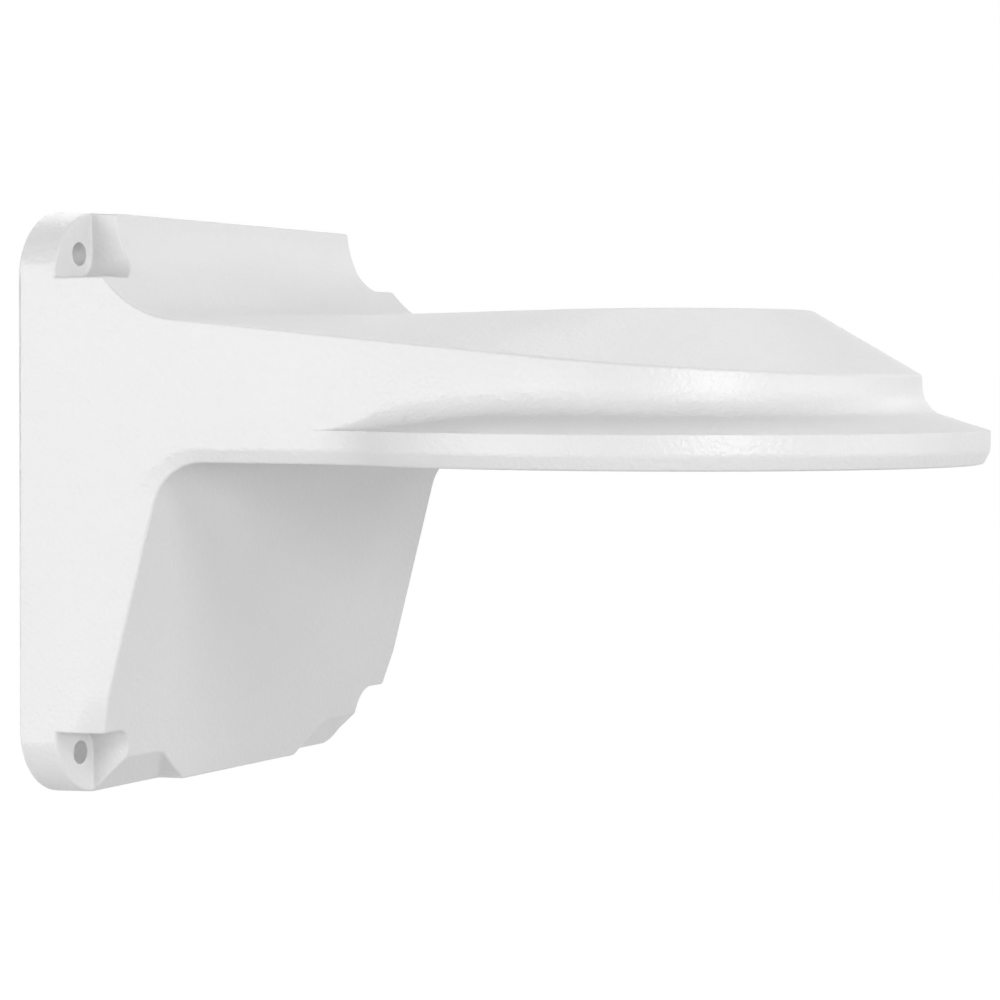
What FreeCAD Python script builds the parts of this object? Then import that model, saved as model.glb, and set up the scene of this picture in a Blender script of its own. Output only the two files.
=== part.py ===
import FreeCAD, Part
import math
import os
import Sketcher

# A wall bracket for a dome camera, cast in one piece: a square plate with four corner screws, a post
# that slants forward, a tapering arm and a round seat that the camera hangs from. The wall is the
# plane Y = 0, the arm reaches towards -Y, X runs across the wall and Z = 0 is half way up the plate.
# Distances from the wall are called reach, so a point at reach r has Y = -r.

Vector = FreeCAD.Vector

SIZES = [
    ("plate_width", 118.0, "width of the plate at the wall"),
    ("plate_height", 120.0, "height of the plate at the wall"),
    ("plate_corner_radius", 14.0, "rounding of the plate's four corners"),
    ("draft_angle", 2.45, "taper of every side away from the wall, degrees"),
    ("screw_margin", 9.0, "edges of the plate at the wall to the wall screws' axes"),
    ("screw_hole_diameter", 4.8, "wall screw holes"),
    ("pocket_floor", 8.8, "thickness of the plate under a wall screw's head and above the foot bevel"),
    ("pocket_gap_x", 4.0, "screw axis to the pocket's inner wall"),
    ("pocket_gap_z", 4.9, "screw axis to the pocket's ledge"),
    ("pocket_corner_radius", 4.5, "rounding of the pocket's inner corner"),
    ("top_edge_reach", 15.1, "wall to the front of the plate's top edge"),
    ("upper_face_lean", 3.0, "lean of the plate's upper front face, degrees"),
    ("sweep_radius", 23.5, "hollow curve from the upper front face into the arm"),
    ("arm_top", 39.45, "height of the crown and its ridge"),
    ("arm_depth", 30.45, "from the crown down to the underside of the arm and seat"),
    ("edge_drop", 9.45, "from the crown down to its edge beside the camera axis"),
    ("edge_fall", 5.46, "fall of the crown's edge along the arm, degrees"),
    ("edge_tip_drop", 3.5, "further fall of the crown's edge from there to the tip"),
    ("crown_radius", 27.0, "round end of the flat crown"),
    ("crown_offset", 5.5, "centre of the flat crown's round end, beyond the camera axis"),
    ("crown_apex_reach", 56.8, "wall to the point where the flat crown begins"),
    ("seat_reach", 114.5, "wall to the camera axis"),
    ("seat_radius", 67.6, "outside of the seat's rim"),
    ("rim_thickness", 6.65, "rim, from the underside to the edge of the ledge"),
    ("rim_bevel_height", 2.8, "bevel under the rim and the arm, height"),
    ("rim_bevel_inset", 1.36, "bevel under the rim and the arm, width"),
    ("rim_blend_radius", 36.0, "hollow curve where the rim leaves the arm's side"),
    ("ledge_angle", 17.3, "fall of the ledge outwards, degrees"),
    ("ledge_fillet", 6.0, "fillet between the ledge and the wall above it"),
    ("lower_face_reach", 31.5, "wall to the lower front face at Z = 0"),
    ("lower_face_lean", 15.28, "lean of the lower front face, degrees"),
    ("under_fillet", 11.0, "fillet between the lower front face and the arm"),
    ("post_bevel_width", 6.3, "bevel beside the lower front face, width seen from the side"),
    ("post_bevel_inset", 0.7, "bevel beside the lower front face, depth"),
    ("post_foot_inset", 2.4, "the same depth at the ledge of the lower pocket"),
    ("post_foot_length", 8.0, "height over which it deepens"),
    ("post_bevel_curve", 18.4, "curve of that bevel's back edge up to the arm"),
    ("foot_bevel_angle", 41.8, "slope of the plate's lower front bevel, degrees"),
    ("tab_bottom_width", 43.8, "central tab at the plate's bottom edge"),
    ("tab_side_angle", 56.3, "spread of the tab's sides from the upright, degrees"),
    ("wall_thickness", 3.0, "thickness of the casting's walls"),
    ("seat_floor", 3.5, "thickness of the seat and the arm's floor"),
    ("foot_margin", 10.0, "solid foot of the plate below the cable space"),
    ("cable_hole_diameter", 38.0, "cable opening in the seat"),
    ("camera_screw_circle", 84.0, "circle of the camera's screws"),
    ("camera_screw_diameter", 4.5, "camera screw holes"),
]

doc = FreeCAD.newDocument("camera_wall_bracket")
sheet = doc.addObject("Spreadsheet::Sheet", "sizes")
for row, (name, value, meaning) in enumerate(SIZES, start=1):
    sheet.set("A%d" % row, meaning)
    sheet.set("B%d" % row, str(value))
    sheet.setAlias("B%d" % row, name)
doc.recompute()


class Sizes:
    """The sheet's values as plain numbers, and the lengths that follow from them."""

    def __init__(self):
        for name, _, _ in SIZES:
            setattr(self, name, float(sheet.get(name)))
        self.draft = math.radians(self.draft_angle)
        self.half_width = self.plate_width / 2
        self.half_height = self.plate_height / 2
        self.screw_x = self.half_width - self.screw_margin
        self.screw_z = self.half_height - self.screw_margin
        # The arm's tapering sides run tangent into a round end about the camera axis.
        self.neck_radius = self.half_width * math.cos(self.draft) - self.seat_reach * math.sin(self.draft)
        self.tip_reach = self.seat_reach + self.neck_radius
        self.rim_width = self.seat_radius - self.neck_radius
        self.arm_underside = self.arm_top - self.arm_depth
        self.edge_height = self.arm_top - self.edge_drop
        self.crown_reach = self.seat_reach + self.crown_offset
        self.rim_top = self.arm_underside + self.rim_thickness
        self.bevel_top = self.arm_underside + self.rim_bevel_height
        self.lower_slope = math.tan(math.radians(self.lower_face_lean))
        self.edge_slope = math.tan(math.radians(self.edge_fall))


size = Sizes()
CLEAR = 12.0          # how far a cutting shape reaches past the surface that it cuts
OVERLAP = 1.0         # how far one cutting shape runs into the next, or out of the wall's plane
LEAST_CUT = 1.0       # volume that every cut has to remove
NEAR = 0.01           # two places closer than this are the same
BLEND_STEPS = (0.0, 0.15, 0.3, 0.4, 0.5, 0.75, 1.0)  # along the rim's hollow curve
SHOULDER_STEPS = 6    # points along the crown's edge beside its round end
NOSE_STEPS = 24       # points along the crown's edge round the tip
CROWN_OVERLAP = 1.25  # the crown's slopes are cut this much wider than the arm
STRAIGHT_SHARE = 1.2  # the side view's underside ends this many fillet radii past the post
LIFT_SHARE = 1.2      # past there the arm starts this many bevel heights up, inside the rim
LEDGE_DELAY = 2.0     # the ledge begins this far along the hollow curve, where it is a hair wide
LEDGE_INWARD = 1.4    # the ledge's slope is drawn this many rim widths inwards
GROOVE_OUT = 0.5      # share of CLEAR by which the groove above the ledge passes the rim
GROOVE_FOOT = 0.875   # share of CLEAR at which the ledge's slope reaches the groove's foot
BLOCK_RISE = 1.5      # the block for the ledge rises this many fillet radii above it
LEVEL_SHARE = 0.6     # an edge that rises by less than this share of its length is no upright one
RUN_SHARE = 0.9       # the hollow curve's width is followed over this share of its radius
FILLET_SHARE = 1.1    # the ledge's fillet may be this many ledge widths
LEAST_FILLET = 0.25   # the ledge's fillet where it begins
PAST_FRONT = 0.5      # a post bevel's cutting strip passes its front edge by this share of its width
PAST_BACK = 0.15      # and its back edge by this share


def at(across, reach, height):
    """A point at a distance from the wall."""
    return Vector(across, -reach, height)


def side_at(reach, grow=0.0):
    """Half the casting's width at a reach, with the sides moved out by grow."""
    return size.half_width + grow / math.cos(size.draft) - reach * math.tan(size.draft)


def mirrored(shape):
    """The same shape on the other side of the plane X = 0."""
    return shape.mirror(Vector(0, 0, 0), Vector(1, 0, 0))


def feature(name, shape):
    """A document object that holds a shape made from the sheet's sizes."""
    thing = doc.addObject("Part::Feature", name)
    thing.Shape = shape
    return thing


# Outlines seen from above

def arm_outline(height, grow=0.0, start=0.0):
    """Tapering sides and the round end about the camera axis."""
    radius = size.neck_radius + grow
    lean = Vector(math.cos(size.draft), -math.sin(size.draft), 0)
    axis = at(0, size.seat_reach, height)
    right = axis + lean * radius
    left = Vector(-right.x, right.y, right.z)
    front = axis + Vector(0, -radius, 0)
    wall_right = at(side_at(start, grow), start, height)
    wall_left = Vector(-wall_right.x, wall_right.y, wall_right.z)
    return Part.Wire([
        Part.makeLine(wall_left, wall_right),
        Part.makeLine(wall_right, right),
        Part.Arc(right, front, left).toShape(),
        Part.makeLine(left, wall_left),
    ])


def rim_blend():
    """Centre of the hollow curve on the right, and where it leaves the arm's side."""
    lean = Vector(math.cos(size.draft), -math.sin(size.draft), 0)
    along = Vector(math.sin(size.draft), math.cos(size.draft), 0)
    out = size.neck_radius + size.rim_blend_radius
    back = math.sqrt((size.seat_radius + size.rim_blend_radius) ** 2 - out ** 2)
    centre = at(0, size.seat_reach, 0) + lean * out + along * back
    return centre, centre - lean * size.rim_blend_radius


def rim_outline(height, grow=0.0, start=0.0):
    """The arm's sides, a hollow curve and the round rim, moved out by grow."""
    lift = Vector(0, 0, height)
    lean = Vector(math.cos(size.draft), -math.sin(size.draft), 0)
    axis = at(0, size.seat_reach, 0)
    centre, _ = rim_blend()
    blend = size.rim_blend_radius - grow
    towards_axis = (axis - centre).normalize()
    sweep = (lean * -1).getAngle(towards_axis)
    wall_end = at(side_at(start, grow), start, 0)
    front = axis + Vector(0, -(size.seat_radius + grow), 0)
    right = [wall_end]
    for share in BLEND_STEPS:
        turn = FreeCAD.Rotation(Vector(0, 0, 1), math.degrees(share * sweep))
        right.append(centre + turn.multVec(lean * -blend))
    right = [point + lift for point in right]
    left = [Vector(-point.x, point.y, point.z) for point in right]
    edges = [Part.makeLine(left[0], right[0]), Part.makeLine(right[0], right[1])]
    for step in range(1, len(right) - 2, 2):
        edges.append(Part.Arc(right[step], right[step + 1], right[step + 2]).toShape())
    edges.append(Part.Arc(right[-1], front + lift, left[-1]).toShape())
    for step in range(len(left) - 1, 2, -2):
        edges.append(Part.Arc(left[step], left[step - 1], left[step - 2]).toShape())
    edges.append(Part.makeLine(left[1], left[0]))
    return Part.Wire(edges)


def slab(outline, thickness):
    """A flat outline made solid upwards."""
    return Part.Face(outline).extrude(Vector(0, 0, thickness))


# Plate, post and arm

def formula(text):
    """The value of an expression of the sheet."""
    return float(sheet.evalExpression(text))


def pin(sketch, geometry, point, across, up):
    """Hold a sketch point at two distances from the sketch's origin."""
    for kind, text in (("DistanceX", across), ("DistanceY", up)):
        constraint = Sketcher.Constraint(kind, -1, 1, geometry, point, formula(text))
        number = sketch.addConstraint(constraint)
        sketch.setExpression("Constraints[%d]" % number, text)


def new_sketch(body, name, plane, rise):
    """A sketch on one of the body's origin planes, lifted from it by an expression."""
    sketch = body.newObject("Sketcher::SketchObject", name)
    planes = [item for item in body.Origin.OriginFeatures if item.Role == plane]
    sketch.AttachmentSupport = [(planes[0], "")]
    sketch.MapMode = "FlatFace"
    sketch.setExpression(".AttachmentOffset.Base.z", rise)
    return sketch


def add_outline(sketch, corners):
    """A closed outline in a sketch, each corner given as across, up and a radius or None."""
    spots = [Vector(formula(across), formula(up), 0) for across, up, _ in corners]
    count = len(corners)
    entries, exits = list(spots), list(spots)
    for number, (_, _, rounding) in enumerate(corners):
        if rounding is None:
            continue
        here = spots[number]
        back = (spots[number - 1] - here).normalize()
        ahead = (spots[(number + 1) % count] - here).normalize()
        setback = formula(rounding) / math.tan(back.getAngle(ahead) / 2)
        entries[number] = here + back * setback
        exits[number] = here + ahead * setback
    lines = []
    for number in range(count):
        segment = Part.LineSegment(exits[number], entries[(number + 1) % count])
        lines.append(sketch.addGeometry(segment, False))
    for number, (across, up, rounding) in enumerate(corners):
        before, after = lines[number - 1], lines[number]
        if rounding is None:
            sketch.addConstraint(Sketcher.Constraint("Coincident", before, 2, after, 1))
            pin(sketch, after, 1, across, up)
            continue
        radius = formula(rounding)
        here = spots[number]
        middle = (entries[number] + exits[number]) / 2
        reach = math.sqrt(radius ** 2 + (entries[number] - here).Length ** 2)
        centre = here + (middle - here).normalize() * reach
        turn = (here - entries[number]).cross(exits[number] - here).z
        first, last = (entries[number], exits[number]) if turn > 0 else (exits[number], entries[number])
        angles = [math.atan2(point.y - centre.y, point.x - centre.x) for point in (first, last)]
        if angles[1] < angles[0]:
            angles[1] += 2 * math.pi
        circle = Part.Circle(centre, Vector(0, 0, 1), radius)
        arc = sketch.addGeometry(Part.ArcOfCircle(circle, angles[0], angles[1]), False)
        enter, leave = (1, 2) if turn > 0 else (2, 1)
        sketch.addConstraint(Sketcher.Constraint("Tangent", before, 2, arc, enter))
        sketch.addConstraint(Sketcher.Constraint("Tangent", arc, leave, after, 1))
        bound = sketch.addConstraint(Sketcher.Constraint("Radius", arc, radius))
        sketch.setExpression("Constraints[%d]" % bound, rounding)
        corner = sketch.addGeometry(Part.Point(here), True)
        pin(sketch, corner, 1, across, up)
        sketch.addConstraint(Sketcher.Constraint("PointOnObject", corner, 1, before))
        sketch.addConstraint(Sketcher.Constraint("PointOnObject", corner, 1, after))


def add_cut(body, name, sketch, reversed_direction, tip_before):
    """A pocket through everything on one side of its sketch, checked to remove material."""
    pocket = body.newObject("PartDesign::Pocket", name)
    pocket.Profile = sketch
    pocket.Type = "ThroughAll"
    pocket.Reversed = reversed_direction
    doc.recompute()
    if pocket.Shape.Volume >= tip_before.Shape.Volume - LEAST_CUT:
        raise RuntimeError(name + " removes nothing")
    return pocket


DRAFT = "tan(sizes.draft_angle * 1 deg)"
LEAN = "tan(sizes.lower_face_lean * 1 deg)"
UNDERSIDE = "(sizes.arm_top - sizes.arm_depth)"
SCREW_X = "(sizes.plate_width / 2 - sizes.screw_margin)"
SCREW_Z = "(sizes.plate_height / 2 - sizes.screw_margin)"
NECK = ("(sizes.plate_width / 2 * cos(sizes.draft_angle * 1 deg)"
        " - sizes.seat_reach * sin(sizes.draft_angle * 1 deg))")


def make_blank(body):
    """The arm's plan, drawn up to the full height of the plate."""
    sketch = new_sketch(body, "arm_plan", "XY_Plane", "-sizes.plate_height / 2")
    lean_x = math.cos(size.draft) * size.neck_radius
    lean_y = -size.seat_reach - math.sin(size.draft) * size.neck_radius
    right, left = Vector(lean_x, lean_y, 0), Vector(-lean_x, lean_y, 0)
    wall_right, wall_left = Vector(size.half_width, 0, 0), Vector(-size.half_width, 0, 0)
    sketch.addGeometry(Part.LineSegment(wall_left, wall_right), False)
    sketch.addGeometry(Part.LineSegment(wall_right, right), False)
    circle = Part.Circle(Vector(0, -size.seat_reach, 0), Vector(0, 0, 1), size.neck_radius)
    sketch.addGeometry(Part.ArcOfCircle(circle, math.pi + size.draft, 2 * math.pi - size.draft), False)
    sketch.addGeometry(Part.LineSegment(left, wall_left), False)
    sketch.addConstraint(Sketcher.Constraint("Coincident", 0, 2, 1, 1))
    sketch.addConstraint(Sketcher.Constraint("Coincident", 1, 2, 2, 2))
    sketch.addConstraint(Sketcher.Constraint("Coincident", 2, 1, 3, 1))
    sketch.addConstraint(Sketcher.Constraint("Coincident", 3, 2, 0, 1))
    pin(sketch, 0, 1, "-sizes.plate_width / 2", "0")
    pin(sketch, 0, 2, "sizes.plate_width / 2", "0")
    tangent_y = "-sizes.seat_reach - %s * sin(sizes.draft_angle * 1 deg)" % NECK
    tangent_x = "%s * cos(sizes.draft_angle * 1 deg)" % NECK
    pin(sketch, 1, 2, tangent_x, tangent_y)
    pin(sketch, 2, 1, "-" + tangent_x, tangent_y)
    bound = sketch.addConstraint(Sketcher.Constraint("Radius", 2, size.neck_radius))
    sketch.setExpression("Constraints[%d]" % bound, NECK)
    doc.recompute()
    pad = body.newObject("PartDesign::Pad", "blank")
    pad.Profile = sketch
    pad.setExpression("Length", "sizes.plate_height")
    doc.recompute()
    return pad


def cut_side_view(body, blank):
    """The taper of the top, then the post's slanting front, its fillet and the arm's underside."""
    beside = "-sizes.plate_width"
    far = "-(sizes.seat_reach + sizes.seat_radius)"
    above = "sizes.plate_height"
    top = new_sketch(body, "top_waste", "YZ_Plane", beside)
    add_outline(top, [
        ("0", "sizes.plate_height / 2", None),
        ("0", above, None),
        (far, above, None),
        (far, "sizes.plate_height / 2 + %s * %s" % (far, DRAFT), None),
    ])
    cut = add_cut(body, "top_cut", top, True, blank)
    bottom = new_sketch(body, "bottom_waste", "YZ_Plane", beside)
    foot = ("((sizes.lower_face_reach - sizes.plate_height / 2 * %s) / (1 - %s * %s))"
            % (LEAN, LEAN, DRAFT))
    knee = "(sizes.lower_face_reach + %s * %s)" % (UNDERSIDE, LEAN)
    neck = "-(%s + %s * sizes.under_fillet)" % (knee, STRAIGHT_SHARE)
    lifted = "%s + sizes.rim_bevel_height * %s" % (UNDERSIDE, LIFT_SHARE)
    add_outline(bottom, [
        ("0", "-sizes.plate_height / 2", None),
        ("-" + foot, "-sizes.plate_height / 2 + %s * %s" % (foot, DRAFT), None),
        ("-" + knee, UNDERSIDE, "sizes.under_fillet"),
        (neck, UNDERSIDE, None),
        (neck, lifted, None),
        (far, lifted, None),
        (far, "-" + above, None),
        ("0", "-" + above, None),
    ])
    return add_cut(body, "bottom_cut", bottom, True, cut)


def round_plate_corners(body, before):
    """The four upright-looking corners of the plate, seen from the front."""
    names = []
    taper = size.tip_reach * math.tan(size.draft)
    for number, edge in enumerate(before.Shape.Edges, start=1):
        box = edge.BoundBox
        beside = min(abs(box.XMin), abs(box.XMax)) > side_at(size.tip_reach)
        at_end = min(abs(box.ZMin), abs(box.ZMax)) > size.half_height - taper
        if beside and at_end and box.YLength > max(box.XLength, box.ZLength):
            names.append("Edge%d" % number)
    fillet = body.newObject("PartDesign::Fillet", "plate_corners")
    fillet.Base = (before, names)
    fillet.setExpression("Radius", "sizes.plate_corner_radius")
    doc.recompute()
    return fillet


def cut_screw_pockets(body, before):
    """Open corner pockets for the screw heads, each with a through hole."""
    pockets = new_sketch(body, "pocket_outlines", "XZ_Plane", "sizes.pocket_floor")
    holes = new_sketch(body, "screw_holes", "XZ_Plane", "sizes.pocket_floor")
    for across in ("", "-"):
        for up in ("", "-"):
            inner_x = across + "(%s - sizes.pocket_gap_x)" % SCREW_X
            inner_z = up + "(%s - sizes.pocket_gap_z)" % SCREW_Z
            outer_x = across + "sizes.plate_width"
            outer_z = up + "sizes.plate_height"
            add_outline(pockets, [
                (inner_x, inner_z, "sizes.pocket_corner_radius"),
                (outer_x, inner_z, None),
                (outer_x, outer_z, None),
                (inner_x, outer_z, None),
            ])
            centre = (across + SCREW_X, up + SCREW_Z)
            place = Vector(formula(centre[0]), formula(centre[1]), 0)
            radius = size.screw_hole_diameter / 2
            hole = holes.addGeometry(Part.Circle(place, Vector(0, 0, 1), radius), False)
            pin(holes, hole, 3, centre[0], centre[1])
            bound = holes.addConstraint(Sketcher.Constraint("Diameter", hole, 2 * radius))
            holes.setExpression("Constraints[%d]" % bound, "sizes.screw_hole_diameter")
    doc.recompute()
    cut = add_cut(body, "corner_pockets", pockets, True, before)
    return add_cut(body, "wall_screw_holes", holes, False, cut)


# Crown: the flat teardrop on top of the arm, its slopes, and the hollow sweep up to the plate's top

def edge_height(reach):
    """Height of the crown's edge: straight along the arm, then levelling out to the tip."""
    beyond = max(reach - size.seat_reach, 0.0)
    whole = size.tip_reach - size.seat_reach
    straight = size.edge_height - size.edge_slope * (reach - size.seat_reach)
    short_by = size.edge_slope * whole - size.edge_tip_drop
    return straight + short_by * (beyond / whole) ** 2


def outer_edge(reach):
    """A point of the crown's edge on the arm's straight side."""
    return at(side_at(reach), reach, edge_height(reach))


def round_edge(angle):
    """A point of the crown's edge round the tip, by its angle from the right-hand side."""
    if angle < size.draft:
        reach = size.seat_reach + math.tan(angle) * side_at(size.seat_reach)
        return outer_edge(reach)
    if angle > math.pi - size.draft:
        point = round_edge(math.pi - angle)
        return Vector(-point.x, point.y, point.z)
    reach = size.seat_reach + size.neck_radius * math.sin(angle)
    return at(size.neck_radius * math.cos(angle), reach, edge_height(reach))


def crown_circle(angle):
    """A point of the flat crown's round end, by the same angle."""
    reach = size.crown_reach + size.crown_radius * math.sin(angle)
    return at(size.crown_radius * math.cos(angle), reach, size.arm_top)


def sweep_profile(across, foot, fall):
    """The upper front face and the hollow sweep at one X, ending tangent to a line that falls."""
    lean = math.radians(size.upper_face_lean)
    from_face = Vector(0, -math.cos(lean), math.sin(lean))
    from_foot = Vector(0, -math.sin(fall), math.cos(fall))
    top = at(0, size.top_edge_reach, size.half_height)
    turn = math.sin(math.pi / 2 - lean - fall)
    face_side = from_face.dot(top) + size.sweep_radius
    foot_side = from_foot.dot(foot) + size.sweep_radius
    det = from_face.y * from_foot.z - from_face.z * from_foot.y
    centre_y = (face_side * from_foot.z - from_face.z * foot_side) / det
    centre_z = (from_face.y * foot_side - face_side * from_foot.y) / det
    centre = Vector(0, centre_y, centre_z)
    high = centre - from_face * size.sweep_radius
    low = centre - from_foot * size.sweep_radius
    middle = centre - (from_face + from_foot).normalize() * size.sweep_radius
    rise = (size.plate_height - high.z) / math.cos(lean)
    start = high + Vector(0, math.sin(lean), math.cos(lean)) * rise
    return [Vector(across(point), point.y, point.z) for point in (start, high, middle, low)]


def widened(inner, outer):
    """The outer point moved further along the line from the inner one."""
    return inner + (outer - inner) * CROWN_OVERLAP


def curve_through(points):
    """A smooth curve through points that lie at equal steps."""
    spline = Part.BSplineCurve()
    spline.interpolate(Points=points, Parameters=[float(step) for step in range(len(points))])
    return spline.toShape()


def crown_relief():
    """Everything above the crown, its slopes and the sweep, as one solid."""
    centre = sweep_profile(lambda point: 0.0, at(0, 0, size.arm_top), 0.0)
    side = sweep_profile(lambda point: side_at(-point.y), outer_edge(0), math.radians(size.edge_fall))
    apex = at(0, size.crown_apex_reach, size.arm_top)
    half_point = math.asin(size.crown_radius / (size.crown_reach - size.crown_apex_reach))
    touch = crown_circle(-half_point)
    share = (-touch.y - size.crown_apex_reach) / (size.crown_reach - size.crown_apex_reach)
    beside_touch = size.crown_apex_reach + share * (size.seat_reach - size.crown_apex_reach)

    wide = [widened(inner, outer) for inner, outer in zip(centre, side)]
    wide_apex = widened(apex, outer_edge(size.crown_apex_reach))
    wide_touch = widened(touch, outer_edge(beside_touch))

    shares = [step / SHOULDER_STEPS for step in range(SHOULDER_STEPS + 1)]
    inner_steps = [crown_circle(half_point * (share - 1)) for share in shares]
    outer_reaches = [beside_touch + (size.seat_reach - beside_touch) * share for share in shares]
    shoulder = [widened(inner, outer_edge(reach)) for inner, reach in zip(inner_steps, outer_reaches)]
    angles = [math.pi * step / NOSE_STEPS for step in range(NOSE_STEPS + 1)]
    nose = [widened(crown_circle(angle), round_edge(angle)) for angle in angles]

    face_pair = (Part.makeLine(centre[0], centre[1]), Part.makeLine(wide[0], wide[1]))
    sweep_pair = (Part.Arc(centre[1], centre[2], centre[3]).toShape(),
                  Part.Arc(wide[1], wide[2], wide[3]).toShape())
    ridge_pair = (Part.makeLine(centre[3], apex), Part.makeLine(wide[3], wide_apex))
    slope_pair = (Part.makeLine(apex, touch), Part.makeLine(wide_apex, wide_touch))
    shoulder_inner = Part.Arc(touch, crown_circle(-half_point / 2), crown_circle(0)).toShape()
    shoulder_pair = (shoulder_inner, curve_through(shoulder))
    nose_inner = Part.Arc(crown_circle(0), crown_circle(math.pi / 2), crown_circle(math.pi)).toShape()

    rise = Vector(0, 0, size.plate_height)
    pieces = []
    for inner, outer in (face_pair, sweep_pair, ridge_pair, slope_pair, shoulder_pair):
        piece = Part.makeRuledSurface(inner, outer).extrude(rise)
        pieces += [piece, mirrored(piece)]
    pieces.append(Part.makeRuledSurface(nose_inner, curve_through(nose)).extrude(rise))
    flat = Part.Wire([slope_pair[0], shoulder_inner, nose_inner,
                      mirrored(shoulder_inner), mirrored(slope_pair[0])])
    pieces.append(Part.Face(flat).extrude(rise))
    return pieces[0].multiFuse(pieces[1:]).removeSplitter()


# Seat: the rim with its bevel, the sloping ledge and the fillet into the wall above it

def ledge_height(grow):
    """Height of the ledge where the rim's outline is moved out by grow."""
    return size.rim_top - grow * math.tan(math.radians(size.ledge_angle))


def in_front_of(reach):
    """A block that holds everything further from the wall than a reach."""
    wide = 3 * size.plate_width
    return Part.makeBox(wide, wide, wide, Vector(-wide / 2, -reach - wide, -wide / 2))


def seat_blank():
    """The arm's underside and the rim, with a block above it for the ledge."""
    bevel = Part.makeLoft([rim_outline(size.arm_underside, -size.rim_bevel_inset, size.rim_bevel_inset),
                           rim_outline(size.bevel_top)], True, True)
    rim = slab(rim_outline(size.bevel_top), size.rim_top - size.bevel_top)
    tall = ledge_height(-size.rim_width) + BLOCK_RISE * size.ledge_fillet - size.rim_top
    block = slab(rim_outline(size.rim_top), tall).common(in_front_of(ledge_start()))
    return bevel.multiFuse([rim, block]).removeSplitter()


def ledge_start():
    """Reach at which the ledge is first wide enough to be made."""
    _, leaves = rim_blend()
    return -leaves.y + LEDGE_DELAY


def ledge_groove():
    """What is cut away above the ledge, outside the arm's sides and the wall round the seat."""
    inside = -LEDGE_INWARD * size.rim_width
    ledge = Part.makeLoft([rim_outline(ledge_height(CLEAR), CLEAR),
                           rim_outline(ledge_height(inside), inside)], True, True)
    bottom = ledge_height(GROOVE_FOOT * CLEAR)
    tall = size.arm_top - bottom
    arm = slab(arm_outline(bottom - OVERLAP), tall + 2 * OVERLAP)
    groove = slab(rim_outline(bottom, GROOVE_OUT * CLEAR), tall).cut([ledge, arm])
    return groove.common(in_front_of(ledge_start())).Solids[0]


def ledge_width(reach):
    """Width of the ledge beside the arm, where the rim's hollow curve widens it."""
    _, leaves = rim_blend()
    run = min(max(reach + leaves.y, 0.0), RUN_SHARE * size.rim_blend_radius)
    return size.rim_blend_radius - math.sqrt(size.rim_blend_radius ** 2 - run ** 2)


def ledge_fillet_radii(groove):
    """Each edge at the foot of the wall, with a radius at both ends that the ledge has room for."""
    rows = []
    for number, edge in enumerate(groove.Edges, start=1):
        middle = edge.valueAt((edge.FirstParameter + edge.LastParameter) / 2)
        level = edge.BoundBox.ZLength < LEVEL_SHARE * edge.Length
        low = middle.z < ledge_height(-size.rim_width) + OVERLAP
        if level and low and arm_distance(middle) < NEAR:
            ends = [edge.firstVertex(True).Point, edge.lastVertex(True).Point]
            room = [max(FILLET_SHARE * ledge_width(-end.y), LEAST_FILLET) for end in ends]
            rows.append((number, min(room[0], size.ledge_fillet), min(room[1], size.ledge_fillet)))
    return rows


def arm_distance(point):
    """How far a point lies from the arm's sides and round end, seen from above."""
    across, beyond = abs(point.x), -point.y - size.seat_reach
    if beyond < math.sin(size.draft) * size.neck_radius:
        return abs(across - side_at(-point.y)) * math.cos(size.draft)
    return abs(math.hypot(across, beyond) - size.neck_radius)


# Bevels beside the lower front face and across the plate's foot

def tangent_corner(first, corner, last, radius):
    """Start, middle and end of an arc that rounds a corner in the side view."""
    back = (first - corner).normalize()
    ahead = (last - corner).normalize()
    half_angle = back.getAngle(ahead) / 2
    setback = radius / math.tan(half_angle)
    inward = (back + ahead).normalize()
    centre = corner + inward * (radius / math.sin(half_angle))
    return corner + back * setback, centre - inward * radius, corner + ahead * setback


def post_bevel():
    """The strip cut from the post's right-hand edge, curving into the bevel under the arm."""
    low, far = -size.plate_height, size.lower_face_reach + 2 * size.under_fillet

    def face_at(height, back):
        return at(0, size.lower_face_reach - back + height * size.lower_slope, height)

    deepens = size.pocket_gap_z - size.screw_z + size.post_foot_length
    foot = deepens - 2 * size.post_foot_length
    fronts = [face_at(foot, 0.0), face_at(deepens, 0.0), *tangent_corner(
        face_at(low, 0.0), face_at(size.arm_underside, 0.0), at(0, far, size.arm_underside),
        size.under_fillet), at(0, far, size.arm_underside)]
    width = size.post_bevel_width
    backs = [face_at(foot, width), face_at(deepens, width), *tangent_corner(
        face_at(low, width), face_at(size.bevel_top, width), at(0, far, size.bevel_top),
        size.post_bevel_curve), at(0, far, size.bevel_top)]
    shallow, deep = size.post_bevel_inset, size.rim_bevel_inset
    insets = [2 * size.post_foot_inset - shallow, shallow, shallow, (shallow + deep) / 2, deep, deep]
    inner, outer = [], []
    for front, back, inset in zip(fronts, backs, insets):
        front.x = side_at(-front.y, -inset)
        back.x = side_at(-back.y)
        inner.append(front + (front - back) * PAST_FRONT)
        outer.append(back + (back - front) * PAST_BACK)
    aside = Vector(CLEAR, 0, 0)

    def strip(first, last):
        """The ruled strip between two straight stretches."""
        return Part.makeRuledSurface(Part.makeLine(inner[first], inner[last]),
                                     Part.makeLine(outer[first], outer[last]))

    curved = Part.makeRuledSurface(Part.Arc(*inner[2:5]).toShape(), Part.Arc(*outer[2:5]).toShape())
    strips = [strip(0, 1), strip(1, 2), curved, strip(4, 5)]
    solids = [strip.extrude(aside) for strip in strips]
    return solids[0].multiFuse(solids[1:])


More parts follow.
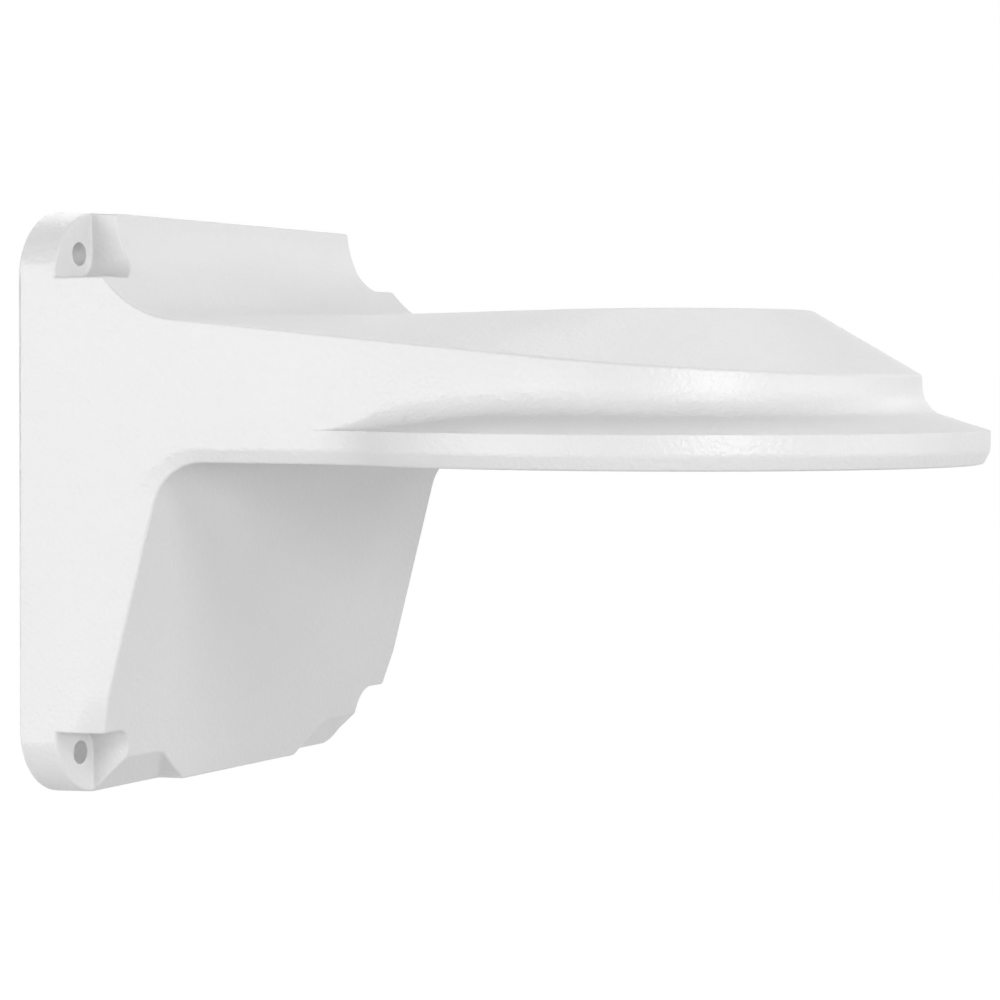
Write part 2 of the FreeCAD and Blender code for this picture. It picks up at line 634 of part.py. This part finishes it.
def foot_bevel():
    """The bevel across the plate's foot, which stops at a tab in the middle."""
    slope = math.tan(math.radians(size.foot_bevel_angle))
    near = size.pocket_floor
    foot = -size.half_height + near * math.tan(size.draft)
    far = size.lower_face_reach
    wide = 2 * size.plate_width
    corners = [at(-wide / 2, near, foot),
               at(-wide / 2, far, foot + (far - near) * slope),
               at(-wide / 2, far, -size.plate_height),
               at(-wide / 2, near, -size.plate_height)]
    wedge = Part.Face(Part.makePolygon(corners + corners[:1])).extrude(Vector(wide, 0, 0))
    spread = math.tan(math.radians(size.tab_side_angle))
    rise = size.half_height
    bottom_half = size.tab_bottom_width / 2 - CLEAR * spread
    top_half = size.tab_bottom_width / 2 + rise * spread
    tab = [at(-bottom_half, -OVERLAP, foot - CLEAR), at(bottom_half, -OVERLAP, foot - CLEAR),
           at(top_half, -OVERLAP, foot + rise), at(-top_half, -OVERLAP, foot + rise)]
    keep = Part.Face(Part.makePolygon(tab + tab[:1])).extrude(Vector(0, -2 * far, 0))
    return wedge.cut(keep)


# Hollow: cable space behind the plate, duct along the arm, openings in the seat

def cable_space(relief):
    """The hollow, open at the wall, with the casting's thickness left all round."""
    wall = size.wall_thickness
    floor = size.arm_underside + size.seat_floor
    duct = slab(arm_outline(floor, -wall, -OVERLAP), size.half_height - wall - floor)
    duct = duct.cut(relief.translated(Vector(0, wall, -wall)))
    low, high = size.foot_margin - size.half_height, floor + OVERLAP
    front = size.lower_face_reach - wall / math.cos(math.radians(size.lower_face_lean))
    side = [at(0, -OVERLAP, low), at(0, front + low * size.lower_slope, low),
            at(0, front + high * size.lower_slope, high), at(0, -OVERLAP, high)]
    post = Part.Face(Part.makePolygon(side + side[:1])).extrude(Vector(size.plate_width, 0, 0))
    post.translate(Vector(-size.half_width, 0, 0))
    sides = slab(arm_outline(low, -wall, -OVERLAP), high - low)
    space = duct.fuse(post.common(sides))
    # The wall screws' corners stay solid.
    inner_x = size.screw_x - size.pocket_gap_x - wall
    inner_z = size.screw_z - size.pocket_gap_z - wall
    depth = size.lower_face_reach
    blocks = []
    for x in (inner_x, -inner_x - size.plate_width):
        for z in (inner_z, -inner_z - size.plate_height):
            corner = Vector(x, -depth, z)
            blocks.append(Part.makeBox(size.plate_width, depth + 2 * OVERLAP, size.plate_height, corner))
    return space.cut(blocks)


# The casting

def rounded_groove():
    """The groove above the ledge with its lower inner edge rounded."""
    raw = feature("ledge_groove_raw", ledge_groove())
    rounded = doc.addObject("Part::Fillet", "ledge_groove")
    rounded.Base = raw
    rounded.Edges = ledge_fillet_radii(raw.Shape)
    return rounded


def bored(name, diameter, across, reach):
    """A round hole straight up through the seat's floor, bound to the sheet."""
    hole = doc.addObject("Part::Cylinder", name)
    hole.setExpression("Radius", diameter + " / 2")
    hole.setExpression("Height", "2 * sizes.rim_thickness")
    hole.setExpression("Placement.Base.x", across)
    hole.setExpression("Placement.Base.y", reach)
    hole.setExpression("Placement.Base.z", UNDERSIDE + " + sizes.seat_floor / 2 - sizes.rim_thickness")
    return hole


def seat_holes():
    """The cable opening and the camera's three screw holes."""
    holes = [bored("cable_opening", "sizes.cable_hole_diameter", "0", "-sizes.seat_reach")]
    for number in range(3):
        turn = "(90 + 120 * %d) * 1 deg" % number
        across = "sizes.camera_screw_circle / 2 * cos(%s)" % turn
        reach = "-sizes.seat_reach + sizes.camera_screw_circle / 2 * sin(%s)" % turn
        holes.append(bored("camera_screw_%d" % (number + 1), "sizes.camera_screw_diameter", across, reach))
    return holes


body = doc.addObject("PartDesign::Body", "plate_and_arm")
blank = make_blank(body)
side_cut = cut_side_view(body, blank)
rounded_plate = round_plate_corners(body, side_cut)
cut_screw_pockets(body, rounded_plate)

joined = doc.addObject("Part::Fuse", "casting_blank")
joined.Base = body
joined.Tool = feature("seat", seat_blank())

relief = crown_relief()
bevel = post_bevel()
tools = [
    rounded_groove(),
    feature("crown_relief", relief),
    feature("post_bevel_right", bevel),
    feature("post_bevel_left", mirrored(bevel)),
    feature("foot_bevel", foot_bevel()),
    feature("cable_space", cable_space(relief)),
    *seat_holes(),
]
casting = joined
for tool in tools:
    cut = doc.addObject("Part::Cut", "cut_" + tool.Name)
    cut.Base = casting
    cut.Tool = tool
    casting = cut
casting.Refine = True
casting.Label = "bracket"
doc.recompute()

for thing in doc.Objects:
    if "Invalid" in thing.State or "Error" in thing.State:
        raise RuntimeError("%s failed: %s" % (thing.Name, thing.State))
if casting.Shape.isNull() or not casting.Shape.isValid() or len(casting.Shape.Solids) != 1:
    raise RuntimeError("the casting is not one valid solid")

os.makedirs("parts", exist_ok=True)
casting.Shape.exportStep("parts/%s.step" % casting.Label)
print("bracket", round(casting.Shape.Volume), "mm3,", len(casting.Shape.Faces), "faces")
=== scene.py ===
import math

import bmesh
import bpy
from mathutils import Matrix, Vector
from mathutils.geometry import intersect_point_line


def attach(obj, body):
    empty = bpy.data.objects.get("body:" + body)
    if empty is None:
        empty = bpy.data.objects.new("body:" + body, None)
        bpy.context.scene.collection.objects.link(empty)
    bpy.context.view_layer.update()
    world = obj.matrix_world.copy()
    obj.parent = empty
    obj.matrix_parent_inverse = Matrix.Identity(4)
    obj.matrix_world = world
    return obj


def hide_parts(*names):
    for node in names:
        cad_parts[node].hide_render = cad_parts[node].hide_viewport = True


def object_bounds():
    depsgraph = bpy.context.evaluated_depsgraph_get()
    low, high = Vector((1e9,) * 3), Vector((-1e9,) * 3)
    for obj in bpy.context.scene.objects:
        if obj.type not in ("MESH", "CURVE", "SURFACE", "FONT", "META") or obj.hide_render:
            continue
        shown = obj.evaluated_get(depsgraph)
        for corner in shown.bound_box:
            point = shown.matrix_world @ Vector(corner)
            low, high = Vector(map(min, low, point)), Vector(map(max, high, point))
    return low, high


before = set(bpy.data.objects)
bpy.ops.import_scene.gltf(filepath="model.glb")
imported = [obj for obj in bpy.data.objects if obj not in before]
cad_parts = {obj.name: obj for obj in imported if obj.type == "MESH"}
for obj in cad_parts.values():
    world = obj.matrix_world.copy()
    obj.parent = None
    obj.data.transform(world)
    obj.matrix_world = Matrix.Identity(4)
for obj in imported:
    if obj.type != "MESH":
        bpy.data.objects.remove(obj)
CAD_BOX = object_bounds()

bl_info = {
    "name": "Camera wall bracket",
    "version": (1, 0, 0),
    "blender": (4, 5, 0),
    "location": "3D View > Sidebar > Bracket",
    "description": "Finishes a cast wall bracket for a dome camera and sets up its studio",
    "category": "Object",
}

MM = 0.001                   # a millimetre, in metres
NODE = "bracket"
BODY = "root"
FRAME_PIXELS = 1000          # the picture's width
SENSOR_MM = 36.0             # the camera sensor's width

# The casting's mesh: an edge's turn is the angle between the two faces that meet at it.
SAME_POINT = 0.002 * MM      # corners nearer to each other than this are one corner
LEAST_EDGE = 0.12 * MM       # edges shorter than this are drawn together
FLAT = math.radians(0.4)     # facets that turn less than this make one flat face
STRIP = math.radians(12)     # two triangles that turn less than this make one strip of a curved face
SHARP = math.radians(20)     # edges that turn more than this are rounded
FAINT = math.radians(5)      # edges that turn less than this may be taken out
IN_LINE = math.radians(10)   # two edges are in line within this
LONG_EDGE = 10.0 * MM        # sharp edges longer than this are kept clear of other corners
CLEARANCE = 0.6 * MM         # distance from them that their rounding doesn't reach

# Places on the casting: height is along Z, reach is away from the wall and across is along X.
CROWN_TOP = 39.45 * MM       # height of the crown's flat top
AT_TOP = 0.02 * MM           # corners within this of that height lie on the flat top
CREASE = math.radians(12)    # the flat top's edge is rounded where it turns more than this
LEDGE_LOW = 15.0 * MM        # the rim's upper edge lies between these heights
LEDGE_HIGH = 17.5 * MM
LEDGE_BEGINS = 60.0 * MM     # reach at which the ledge inside the rim begins
LEDGE_WIDENS = 82.0 * MM     # reach from which the ledge has room for the rounding
LEDGE_INSIDE = 50.0 * MM     # the narrow part of the ledge lies further across than this
SCREW_ACROSS = 50.0 * MM     # axes of the wall screws
SCREW_HEIGHT = 51.0 * MM
POCKET_FLOOR = 8.8 * MM      # reach of the pockets' floors, where the wall screws' holes open
AT_FLOOR = 0.1 * MM          # edges within this of that reach lie on a pocket's floor
HOLE_MOUTH = 4.0 * MM        # what lies nearer than this to a wall screw's axis is its hole's mouth
CRISP_EDGE = 0.3             # share of the edge radius at the rim's upper edge and at the holes' mouths
EDGE_STEPS = 3               # facets across a rounded edge

# The coat
CLOUD_WIDTH = 18.0 * MM      # distance between thicker and thinner places
SATIN_SPREAD = 0.04          # roughness gained where the coat is thin and lost where it is thick
THIN_COAT = 0.985            # share of its whiteness where it is thin

# The studio: lengths are in metres.
FLOOR_HALF = 6.0             # half the floor's width
FADE_BEGINS = 0.1            # the floor's fade to plain white begins this much further from the bracket
FADE_ENDS = 1.5              # than its nearest point, and ends this much further
NEAR_WHITE = 0.8             # share of plain white where the fade begins
PLAIN_WHITE = 1.05           # strength of the floor's plain white
SOFT_SKY = 0.02              # strength of the even light from all sides
LENS_NEAR = 0.01             # the camera sees from this distance
LENS_FAR = 50.0              # to this one


# Small helpers

def linear(hex_colour):
    """The linear colour of an sRGB hex value."""
    parts = [int(hex_colour[start:start + 2], 16) / 255 for start in (1, 3, 5)]
    return [part / 12.92 if part <= 0.04045 else ((part + 0.055) / 1.055) ** 2.4 for part in parts]


def colour(hex_colour):
    """The same colour with full opacity, as a colour socket takes it."""
    return (*linear(hex_colour), 1.0)


def add_node(tree, kind, settings=None, links=None):
    """A node with its properties and socket values set and its inputs linked."""
    node = tree.nodes.new(kind)
    for name, value in (settings or {}).items():
        if name in node.inputs:
            node.inputs[name].default_value = value
        else:
            setattr(node, name, value)
    for name, socket in (links or {}).items():
        tree.links.new(socket, node.inputs[name])
    return node


def new_material(name):
    """An empty node material and its output."""
    material = bpy.data.materials.new(name)
    material.use_nodes = True
    material.node_tree.nodes.clear()
    return material, add_node(material.node_tree, "ShaderNodeOutputMaterial")


def seen_as_ground(tree):
    """1 for what the lens sees straight on, in a mirror or through glass, and 0 for scattered light."""
    path = add_node(tree, "ShaderNodeLightPath")
    seen = path.outputs["Is Camera Ray"]
    for name in ("Is Glossy Ray", "Is Transmission Ray"):
        seen = add_node(tree, "ShaderNodeMath", {"operation": "MAXIMUM"},
                        {0: seen, 1: path.outputs[name]}).outputs["Value"]
    return seen


def noise_scale(width):
    """Scale at which the bumps of a noise stand this far apart."""
    return 0.5 / width


def link_object(name, data):
    """A new object in the scene."""
    thing = bpy.data.objects.new(name, data)
    bpy.context.scene.collection.objects.link(thing)
    return thing


# Settings that a user would change

class FinishSettings(bpy.types.PropertyGroup):
    """The casting's coat and its edges."""

    coat_colour: bpy.props.StringProperty(
        name="Coat", description="Colour of the powder coat, sRGB hex", default="#E2E2E2")
    roughness: bpy.props.FloatProperty(
        name="Roughness", description="Satin gloss of the coat", default=0.35, min=0.0, max=1.0)
    grain_width: bpy.props.FloatProperty(
        name="Grain width", description="Distance between the coat's orange-peel bumps",
        default=0.5 * MM, subtype="DISTANCE", unit="LENGTH", precision=5)
    grain_depth: bpy.props.FloatProperty(
        name="Grain depth", description="Height of the orange-peel bumps",
        default=0.2 * MM, subtype="DISTANCE", unit="LENGTH", precision=6)
    edge_radius: bpy.props.FloatProperty(
        name="Edge radius", description="Rounding that the mould and the coat give to every edge",
        default=0.5 * MM, subtype="DISTANCE", unit="LENGTH", precision=5)


class StageSettings(bpy.types.PropertyGroup):
    """Floor, light and camera."""

    floor_drop: bpy.props.FloatProperty(
        name="Floor drop", description="Height of the wall screws' middle above the floor",
        default=1.2, subtype="DISTANCE", unit="LENGTH")
    floor_colour: bpy.props.StringProperty(
        name="Floor", description="Colour of the floor, sRGB hex", default="#F4F4F4")
    camera_place: bpy.props.FloatVectorProperty(
        name="Camera place", description="The lens's place", size=3,
        default=(-0.534876, -0.362237, 0.024974), subtype="TRANSLATION", unit="LENGTH", precision=6)
    camera_heading: bpy.props.FloatProperty(
        name="Heading", description="Turn of the view from +X towards +Y",
        default=math.radians(27.851), subtype="ANGLE")
    camera_fall: bpy.props.FloatProperty(
        name="Fall", description="Tilt of the view below level",
        default=math.radians(1.803), subtype="ANGLE")
    camera_roll: bpy.props.FloatProperty(
        name="Roll", description="Turn of the picture about the view",
        default=math.radians(0.1234), subtype="ANGLE")
    focal_pixels: bpy.props.FloatProperty(
        name="Focal length", description="Focal length, in pixels of the 1000 pixel frame", default=2904.27)
    axis_x_pixels: bpy.props.FloatProperty(
        name="Optical axis across", description="Pixel column of the lens's axis", default=500.39)
    axis_y_pixels: bpy.props.FloatProperty(
        name="Optical axis down", description="Pixel row of the lens's axis", default=474.02)


# Materials

def powder_coat(finish):
    """Polyester powder coat, sprayed on the casting and baked: a satin white whose melted grains leave
    a fine orange peel, with broad soft highlights and no wear."""
    material, output = new_material("powder_coat_white")
    tree = material.node_tree
    place = add_node(tree, "ShaderNodeTexCoord").outputs["Object"]
    peel = add_node(tree, "ShaderNodeTexNoise", {
        "Scale": noise_scale(finish.grain_width), "Detail": 2.0, "Roughness": 0.5, "Distortion": 0.3,
    }, {"Vector": place}).outputs["Fac"]
    bump = add_node(tree, "ShaderNodeBump", {
        "Strength": 1.0, "Distance": finish.grain_depth}, {"Height": peel})
    # Where the spray lies thicker the coat is a trace lighter and smoother.
    cloud = add_node(tree, "ShaderNodeTexNoise", {
        "Scale": noise_scale(CLOUD_WIDTH), "Detail": 1.0}, {"Vector": place}).outputs["Fac"]
    satin = add_node(tree, "ShaderNodeMapRange", {
        "To Min": finish.roughness + SATIN_SPREAD,
        "To Max": finish.roughness - SATIN_SPREAD}, {"Value": cloud})
    white = linear(finish.coat_colour)
    tone = add_node(tree, "ShaderNodeMix", {"data_type": "RGBA"}, {"Factor": cloud})
    colour_inputs = [socket for socket in tone.inputs if socket.type == "RGBA"]
    colour_inputs[0].default_value = (*[part * THIN_COAT for part in white], 1.0)
    colour_inputs[1].default_value = (*white, 1.0)
    tone_out = [socket for socket in tone.outputs if socket.type == "RGBA"][0]
    coat = add_node(tree, "ShaderNodeBsdfPrincipled", {"IOR": 1.5}, {
        "Base Color": tone_out, "Roughness": satin.outputs["Result"], "Normal": bump.outputs["Normal"]})
    tree.links.new(coat.outputs["BSDF"], output.inputs["Surface"])
    return material


def studio_floor(stage):
    """Matt white paper: the picture's white ground, which keeps the bracket's shadow below the bracket and
    fades to plain white further off."""
    material, output = new_material("paper_white")
    tree = material.node_tree
    paper = add_node(tree, "ShaderNodeBsdfDiffuse", {"Color": colour(stage.floor_colour)})
    white = add_node(tree, "ShaderNodeEmission", {"Color": (1, 1, 1, 1), "Strength": PLAIN_WHITE})
    place = add_node(tree, "ShaderNodeTexCoord").outputs["Object"]
    away = add_node(tree, "ShaderNodeVectorMath", {"operation": "LENGTH"}, {0: place}).outputs["Value"]
    plain = add_node(tree, "ShaderNodeMapRange", {
        "From Min": stage.floor_drop + FADE_BEGINS, "From Max": stage.floor_drop + FADE_ENDS,
        "To Min": NEAR_WHITE, "To Max": 1.0}, {"Value": away}).outputs["Result"]
    share = add_node(tree, "ShaderNodeMath", {"operation": "MULTIPLY"}, {0: seen_as_ground(tree), 1: plain})
    mix = add_node(tree, "ShaderNodeMixShader", links={
        0: share.outputs["Value"], 1: paper.outputs["BSDF"], 2: white.outputs["Emission"]})
    tree.links.new(mix.outputs["Shader"], output.inputs["Surface"])
    return material


# Operators

class BRACKET_OT_casting(bpy.types.Operator):
    """Rounds the casting's edges and coats it"""

    bl_idname = "bracket.casting"
    bl_label = "Casting"

    def execute(self, context):
        finish = context.scene.bracket_finish
        shape = bmesh.new()
        shape.from_mesh(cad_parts[NODE].data)
        self.merge_facets(shape)
        self.mark_edges(shape)
        mesh = bpy.data.meshes.new("casting")
        shape.to_mesh(mesh)
        shape.free()
        mesh.materials.append(powder_coat(finish))
        casting = link_object("casting", mesh)
        rounding = casting.modifiers.new("edges", "BEVEL")
        rounding.limit_method = "WEIGHT"
        rounding.width = finish.edge_radius
        rounding.segments = EDGE_STEPS
        rounding.use_clamp_overlap = False
        rounding.loop_slide = False
        shading = casting.modifiers.new("flats", "WEIGHTED_NORMAL")
        shading.keep_sharp = True
        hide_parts(NODE)
        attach(casting, BODY)
        return {"FINISHED"}

    def merge_facets(self, shape):
        """One closed shell whose flat faces are whole and whose curved faces are strips."""
        bmesh.ops.remove_doubles(shape, verts=shape.verts, dist=SAME_POINT)
        bmesh.ops.dissolve_limit(shape, angle_limit=FLAT, verts=shape.verts, edges=shape.edges)
        bmesh.ops.remove_doubles(shape, verts=shape.verts, dist=LEAST_EDGE)
        bmesh.ops.join_triangles(shape, faces=shape.faces, angle_face_threshold=STRIP,
                                 angle_shape_threshold=math.pi)
        # A faint edge that runs on from a sharp one would pull the rounding along, and so would those
        # that leave the corner beside it.
        faint = [edge for edge in shape.edges if edge.calc_face_angle(0.0) < FAINT]
        running = [edge for edge in faint if self.runs_on(edge)]
        bmesh.ops.dissolve_edges(shape, edges=[edge for edge in faint if edge in running or any(
            0.0 < self.between(edge, other) < IN_LINE for other in running)])
        bmesh.ops.dissolve_verts(shape, verts=[corner for corner in shape.verts if self.crowds(corner)])

    def is_sharp(self, edge):
        """True on an edge that turns enough to be rounded."""
        return edge.calc_face_angle(0.0) > SHARP

    def runs_on(self, edge):
        """True on an edge that runs on in line from a sharp edge, past a corner where several meet."""
        for corner in edge.verts:
            sharp = [other for other in corner.link_edges if self.is_sharp(other)]
            if len(sharp) > 2 and any(math.pi - self.between(edge, other) < IN_LINE for other in sharp):
                return True
        return False

    def crowds(self, corner):
        """True on a corner of a curved face that lies in the way of a long sharp edge's rounding."""
        if any(self.is_sharp(edge) for edge in corner.link_edges):
            return False
        for face in corner.link_faces:
            for edge in face.edges:
                if edge.calc_length() > LONG_EDGE and self.is_sharp(edge):
                    start, end = (other.co for other in edge.verts)
                    nearest, share = intersect_point_line(corner.co, start, end)
                    if 0.0 < share < 1.0 and (nearest - corner.co).length < CLEARANCE:
                        return True
        return False

    def between(self, edge, other):
        """Angle between two edges where they meet, and 0 where they don't."""
        for corner in edge.verts:
            if corner in other.verts and edge != other:
                away = edge.other_vert(corner).co - corner.co
                return away.angle(other.other_vert(corner).co - corner.co)
        return 0.0

    def mark_edges(self, shape):
        """Gives each edge that is rounded its share of the edge radius."""
        weights = shape.edges.layers.float.new("bevel_weight_edge")
        for face in shape.faces:
            face.smooth = True
        for edge in shape.edges:
            at_top = all(abs(corner.co.z - CROWN_TOP) < AT_TOP for corner in edge.verts)
            if self.is_sharp(edge) or (at_top and edge.calc_face_angle(0.0) > CREASE):
                edge[weights] = self.share_of_radius(edge)
                edge.smooth = edge[weights] > 0.0

    def share_of_radius(self, edge):
        """1 on most edges, and less where an edge is crisp or has no room."""
        middle = (edge.verts[0].co + edge.verts[1].co) / 2
        across, reach, height = abs(middle.x), -middle.y, middle.z
        if LEDGE_LOW < height < LEDGE_HIGH and reach > LEDGE_BEGINS:
            # Where the rim's upper edge begins, the ledge inside it is a hair wide.
            return 0.0 if across > LEDGE_INSIDE and reach < LEDGE_WIDENS else CRISP_EDGE
        from_screw = Vector((across - SCREW_ACROSS, abs(height) - SCREW_HEIGHT)).length
        if from_screw < HOLE_MOUTH and abs(reach - POCKET_FLOOR) < AT_FLOOR:
            return CRISP_EDGE
        return 1.0


# Name, bearing from +X towards +Y and height in degrees, width in metres and power in watts.
# Bearing and distance are from the bracket's middle.
LAMPS = (
    ("key", 230, 4, 0.5, 10.5),
    ("key_high", 235, 35, 0.5, 6),
    ("side", 155, 0, 1.2, 12.5),
    ("side_back", 130, 0, 1.2, 5),
    ("front", 280, 0, 1.2, 8),
    ("front_high", 330, 35, 1.2, 5),
    ("back", 60, 35, 1.2, 5.5),
    ("back_high", 30, 60, 1.2, 7),
)
LAMP_DISTANCE = 1.6          # in metres


class BRACKET_OT_stage(bpy.types.Operator):
    """Lays the floor and places the lamps and the camera"""

    bl_idname = "bracket.stage"
    bl_label = "Stage"

    def execute(self, context):
        stage = context.scene.bracket_stage
        self.lay_floor(stage)
        self.light_sky(context.scene)
        for lamp in LAMPS:
            self.hang_lamp(*lamp)
        self.place_camera(context.scene, stage)
        context.scene.view_settings.view_transform = "Standard"
        return {"FINISHED"}

    def lay_floor(self, stage):
        """A plain sheet far enough below the bracket to carry only a soft shadow."""
        shape = bmesh.new()
        bmesh.ops.create_grid(shape, x_segments=1, y_segments=1, size=FLOOR_HALF,
                              matrix=Matrix.Translation((0, 0, -stage.floor_drop)))
        mesh = bpy.data.meshes.new("floor")
        shape.to_mesh(mesh)
        shape.free()
        mesh.materials.append(studio_floor(stage))
        link_object("floor", mesh)

    def light_sky(self, scene):
        """White where it is seen or mirrored, and an even soft light for everything else."""
        world = bpy.data.worlds.new("studio")
        world.use_nodes = True
        tree = world.node_tree
        tree.nodes.clear()
        white = add_node(tree, "ShaderNodeBackground", {"Color": (1, 1, 1, 1), "Strength": 1.0})
        soft = add_node(tree, "ShaderNodeBackground", {"Color": (1, 1, 1, 1), "Strength": SOFT_SKY})
        mix = add_node(tree, "ShaderNodeMixShader", links={
            0: seen_as_ground(tree), 1: soft.outputs["Background"], 2: white.outputs["Background"]})
        output = add_node(tree, "ShaderNodeOutputWorld")
        tree.links.new(mix.outputs["Shader"], output.inputs["Surface"])
        scene.world = world

    def hang_lamp(self, name, heading, height, width, power):
        """A square soft lamp that faces the bracket."""
        low, high = CAD_BOX
        middle = (Vector(low) + Vector(high)) / 2
        turn, rise = math.radians(heading), math.radians(height)
        away = Vector((math.cos(rise) * math.cos(turn), math.cos(rise) * math.sin(turn), math.sin(rise)))
        lamp = bpy.data.lights.new(name, "AREA")
        lamp.shape = "SQUARE"
        lamp.size = width
        lamp.energy = power
        thing = link_object(name, lamp)
        thing.location = middle + away * LAMP_DISTANCE
        thing.rotation_euler = away.to_track_quat("Z", "Y").to_euler()
        thing.visible_camera = False

    def place_camera(self, scene, stage):
        """The photograph's view, from its own place, heading and focal length."""
        lens = bpy.data.cameras.new("camera")
        lens.sensor_width = SENSOR_MM
        lens.lens = stage.focal_pixels / FRAME_PIXELS * SENSOR_MM
        lens.shift_x = 0.5 - stage.axis_x_pixels / FRAME_PIXELS
        lens.shift_y = stage.axis_y_pixels / FRAME_PIXELS - 0.5
        lens.clip_start = LENS_NEAR
        lens.clip_end = LENS_FAR
        ahead = Vector((
            math.cos(stage.camera_fall) * math.cos(stage.camera_heading),
            math.cos(stage.camera_fall) * math.sin(stage.camera_heading),
            -math.sin(stage.camera_fall)))
        level = ahead.to_track_quat("-Z", "Y").to_matrix()
        thing = link_object("camera", lens)
        thing.location = stage.camera_place
        thing.rotation_euler = (level @ Matrix.Rotation(stage.camera_roll, 3, "Z")).to_euler()
        scene.camera = thing


class BRACKET_PT_panel(bpy.types.Panel):
    """Buttons and settings of the bracket"""

    bl_label = "Camera wall bracket"
    bl_idname = "BRACKET_PT_panel"
    bl_space_type = "VIEW_3D"
    bl_region_type = "UI"
    bl_category = "Bracket"

    def draw(self, context):
        scene = context.scene
        for settings, operator in ((scene.bracket_finish, "bracket.casting"),
                                   (scene.bracket_stage, "bracket.stage")):
            column = self.layout.column()
            for name in settings.__annotations__:
                column.prop(settings, name)
            column.operator(operator)


CLASSES = (FinishSettings, StageSettings, BRACKET_OT_casting, BRACKET_OT_stage, BRACKET_PT_panel)


def register():
    for item in CLASSES:
        bpy.utils.register_class(item)
    bpy.types.Scene.bracket_finish = bpy.props.PointerProperty(type=FinishSettings)
    bpy.types.Scene.bracket_stage = bpy.props.PointerProperty(type=StageSettings)


def unregister():
    del bpy.types.Scene.bracket_stage
    del bpy.types.Scene.bracket_finish
    for item in reversed(CLASSES):
        bpy.utils.unregister_class(item)


def main():
    register()
    bpy.ops.bracket.casting()
    bpy.ops.bracket.stage()


if __name__ == "__main__":
    main()
